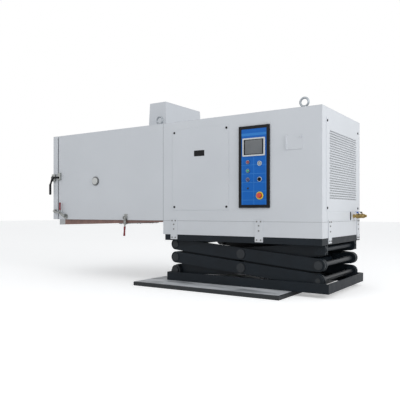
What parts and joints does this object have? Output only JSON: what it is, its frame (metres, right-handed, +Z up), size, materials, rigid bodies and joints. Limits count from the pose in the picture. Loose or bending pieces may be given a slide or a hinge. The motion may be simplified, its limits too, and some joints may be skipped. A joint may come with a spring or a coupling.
{
  "type": "vibration test climatic chamber",
  "caption": "Climatic test chamber beside its machine compartment, raised by a double scissor lift so that the chamber can stand over a vibration shaker.",
  "frame": {"origin": "on the floor, at the base plate's underside, below the middle of the machine compartment and of the cabinet's depth", "axes": "+X along the front to the right, away from the chamber door; +Y to the back, away from the control panel; +Z up"},
  "size_m": [3.074, 1.4, 1.6881],
  "materials": {
    "base_plate": "matte",
    "lift_black": "satin",
    "lift_steel": "satin",
    "roller_steel": "satin",
    "rod_chrome": "polished",
    "eye_steel": "satin",
    "white_paint": "fine texture",
    "screw_black": "satin",
    "coil_aluminium": "finned",
    "fan_plastic": "matte",
    "compressor_iron": "painted black",
    "motor_paint": "painted",
    "wheel_steel": "satin",
    "foam": "closed-cell foam",
    "stainless": "brushed",
    "silicone": "matte",
    "gasket_rubber": "matte",
    "port_plug": "matte",
    "handle_black": "satin",
    "clamp_red": "red grips on bright steel",
    "clamp_steel": "zinc plated",
    "control_blue": "blue field in a black rim",
    "screen": "white case with a dark screen",
    "red_plastic": "gloss",
    "green_plastic": "gloss",
    "blue_plastic": "gloss",
    "black_plastic": "gloss",
    "lock_steel": "polished",
    "estop_red": "gloss",
    "brass": "bare",
    "lever_blue": "dipped vinyl",
    "lever_black": "dipped vinyl"
  },
  "bodies": {
    "base": {"base_plate": "base_plate", "plate_lifting_eyes": "eye_steel", "base_frame": "lift_black"},
    "lower_outer": {"lower_outer_arms": "lift_black", "lower_outer_pins": "lift_steel"},
    "lower_inner": {"lower_inner_frame": "lift_black", "lower_inner_pins": "lift_steel"},
    "upper_inner": {"upper_inner_frame": "lift_black"},
    "upper_outer": {"upper_outer_arms": "lift_black", "upper_outer_pins": "lift_steel"},
    "rollers_below": {"lower_rollers": "roller_steel"},
    "rollers_above": {"upper_rollers": "roller_steel"},
    "cylinders": {"lift_cylinders": "lift_black"},
    "rods": {"lift_rods": "rod_chrome"},
    "cabinet": {"platform_frame": "lift_black", "mounting_brackets": "white_paint", "plinth": "white_paint", "housing_shell": "white_paint", "access_panel": "white_paint", "vent_panel": "white_paint", "panel_screws": "screw_black", "condenser": "coil_aluminium", "compressor": "compressor_iron", "blower_cover": "white_paint", "circulation_motor": "motor_paint", "lifting_eyes": "eye_steel", "chamber_shell": "white_paint", "chamber_insulation": "foam", "chamber_liner": "stainless", "air_baffle": "stainless", "evaporator": "coil_aluminium", "floor_panel": "stainless", "floor_seal": "silicone", "test_port_ring": "stainless", "door_hardware": "clamp_steel", "hinge_brackets": "clamp_steel", "control_panel": "control_blue", "touch_screen": "screen", "water_valves": "brass"},
    "cooling_fan": {"condenser_fan": "fan_plastic"},
    "air_fan": {"circulation_fan": "wheel_steel"},
    "port_plug": {"test_port_plug": "port_plug"},
    "door": {"door_panel": "white_paint", "door_gasket": "gasket_rubber", "hinge_arms": "clamp_steel", "door_latch_body": "clamp_steel"},
    "latch_lever": {"door_latch_lever": "handle_black"},
    "door_clamp": {"door_clamp_handle": "clamp_red"},
    "door_hook": {"door_clamp_hook": "clamp_steel"},
    "floor_clamp": {"floor_clamp_handle": "clamp_red"},
    "floor_hook": {"floor_clamp_hook": "clamp_steel"},
    "red_switch": {"red_button": "red_plastic"},
    "green_switch": {"green_button": "green_plastic"},
    "blue_switch": {"blue_button": "blue_plastic"},
    "selector": {"selector_knob": "black_plastic"},
    "key": {"key_switch": "lock_steel"},
    "stop_switch": {"emergency_stop": "estop_red"},
    "hatch": {"utility_hatch": "white_paint"},
    "blue_lever": {"blue_valve_lever": "lever_blue"},
    "black_lever": {"black_valve_lever": "lever_black"}
  },
  "joints": [
    {"name": "scissor_lift", "type": "hinge", "parent": "base", "child": "lower_outer", "pos_m": [0.694, 0, 0.128], "axis": [0, 1, 0], "range_deg": [0, 21]},
    {"name": "middle_left_pivot", "type": "hinge", "parent": "lower_outer", "child": "upper_inner", "pos_m": [-0.64598, 0, 0.24405], "axis": [0, 1, 0], "range_deg": [-42, 0]},
    {"name": "platform_pivot", "type": "hinge", "parent": "upper_inner", "child": "cabinet", "pos_m": [0.694, 0, 0.36011], "axis": [0, 1, 0], "range_deg": [0, 21]},
    {"name": "lower_centre_pivot", "type": "hinge", "parent": "lower_outer", "child": "lower_inner", "pos_m": [0.02401, 0, 0.18603], "axis": [0, 1, 0], "range_deg": [-42, 0]},
    {"name": "upper_centre_pivot", "type": "hinge", "parent": "upper_inner", "child": "upper_outer", "pos_m": [0.02401, 0, 0.30208], "axis": [0, 1, 0], "range_deg": [0, 42]},
    {"name": "lower_roller_spin", "type": "hinge", "parent": "lower_inner", "child": "rollers_below", "pos_m": [-0.64598, 0, 0.128], "axis": [0, 1, 0], "continuous": true},
    {"name": "upper_roller_spin", "type": "hinge", "parent": "upper_outer", "child": "rollers_above", "pos_m": [-0.64598, 0, 0.36011], "axis": [0, 1, 0], "continuous": true},
    {"name": "cylinder_foot", "type": "hinge", "parent": "base", "child": "cylinders", "pos_m": [0.204, 0, 0.085], "axis": [0, 1, 0], "range_deg": [0, 30]},
    {"name": "cylinder_stroke", "type": "slide", "parent": "cylinders", "child": "rods", "axis": [-0.9392, 0, 0.3433], "range_m": [0, 0.0505]},
    {"name": "cooling_fan_spin", "type": "hinge", "parent": "cabinet", "child": "cooling_fan", "pos_m": [0.61, 0, 0.94311], "axis": [1, 0, 0], "continuous": true},
    {"name": "air_fan_spin", "type": "hinge", "parent": "cabinet", "child": "air_fan", "pos_m": [-0.941, -0.04, 1.45011], "axis": [0, 0, 1], "continuous": true},
    {"name": "port_plug_slide", "type": "slide", "parent": "cabinet", "child": "port_plug", "axis": [0, -1, 0], "range_m": [0, 0.13]},
    {"name": "door_hinge", "type": "hinge", "parent": "cabinet", "child": "door", "pos_m": [-2.1445, 0.494, 1.01161], "axis": [0, 0, -1], "range_deg": [0, 110]},
    {"name": "latch_turn", "type": "hinge", "parent": "door", "child": "latch_lever", "pos_m": [-2.201, -0.505, 1.01211], "axis": [0, 1, 0], "range_deg": [0, 75]},
    {"name": "door_clamp_turn", "type": "hinge", "parent": "cabinet", "child": "door_clamp", "pos_m": [-2.023, -0.48, 0.60411], "axis": [0, -1, 0], "range_deg": [0, 32]},
    {"name": "door_hook_pivot", "type": "hinge", "parent": "door_clamp", "child": "door_hook", "pos_m": [-2.08709, -0.48, 0.64111], "axis": [0, -1, 0], "range_deg": [-32, 0]},
    {"name": "floor_clamp_turn", "type": "hinge", "parent": "cabinet", "child": "floor_clamp", "pos_m": [-1.193, -0.496, 0.59711], "axis": [-1, 0, 0], "range_deg": [0, 110]},
    {"name": "floor_hook_pivot", "type": "hinge", "parent": "floor_clamp", "child": "floor_hook", "pos_m": [-1.193, -0.497, 0.57511], "axis": [-1, 0, 0], "range_deg": [-110, 0]},
    {"name": "red_press", "type": "slide", "parent": "cabinet", "child": "red_switch", "axis": [0, 1, 0], "range_m": [0, 0.004], "stiffness_N_per_m": 400},
    {"name": "green_press", "type": "slide", "parent": "cabinet", "child": "green_switch", "axis": [0, 1, 0], "range_m": [0, 0.004], "stiffness_N_per_m": 400},
    {"name": "blue_press", "type": "slide", "parent": "cabinet", "child": "blue_switch", "axis": [0, 1, 0], "range_m": [0, 0.004], "stiffness_N_per_m": 400},
    {"name": "selector_turn", "type": "hinge", "parent": "cabinet", "child": "selector", "pos_m": [0.2335, -0.49, 0.91111], "axis": [0, 1, 0], "range_deg": [-45, 45]},
    {"name": "key_turn", "type": "hinge", "parent": "cabinet", "child": "key", "pos_m": [0.2335, -0.49, 1.03801], "axis": [0, 1, 0], "range_deg": [0, 90]},
    {"name": "stop_press", "type": "slide", "parent": "cabinet", "child": "stop_switch", "axis": [0, 1, 0], "range_m": [0, 0.005]},
    {"name": "hatch_hinge", "type": "hinge", "parent": "cabinet", "child": "hatch", "pos_m": [0.4565, -0.4855, 1.13111], "axis": [0, 0, -1], "range_deg": [0, 100]},
    {"name": "blue_lever_turn", "type": "hinge", "parent": "cabinet", "child": "blue_lever", "pos_m": [0.788, 0.29, 0.61511], "axis": [0, 0, 1], "range_deg": [0, 90]},
    {"name": "black_lever_turn", "type": "hinge", "parent": "cabinet", "child": "black_lever", "pos_m": [0.788, 0.4, 0.61511], "axis": [0, 0, 1], "range_deg": [0, 90]}
  ],
  "couplings": [
    {"joint": "middle_left_pivot", "follows": "scissor_lift", "ratio": -2},
    {"joint": "platform_pivot", "follows": "scissor_lift", "ratio": 1},
    {"joint": "lower_centre_pivot", "follows": "scissor_lift", "ratio": -2},
    {"joint": "upper_centre_pivot", "follows": "scissor_lift", "ratio": 2},
    {"joint": "cylinder_foot", "follows": "scissor_lift", "ratio": 1.41},
    {"joint": "cylinder_stroke", "follows": "scissor_lift", "m_per_rad": 0.1371},
    {"joint": "door_hook_pivot", "follows": "door_clamp_turn", "ratio": -1},
    {"joint": "floor_hook_pivot", "follows": "floor_clamp_turn", "ratio": -1}
  ]
}
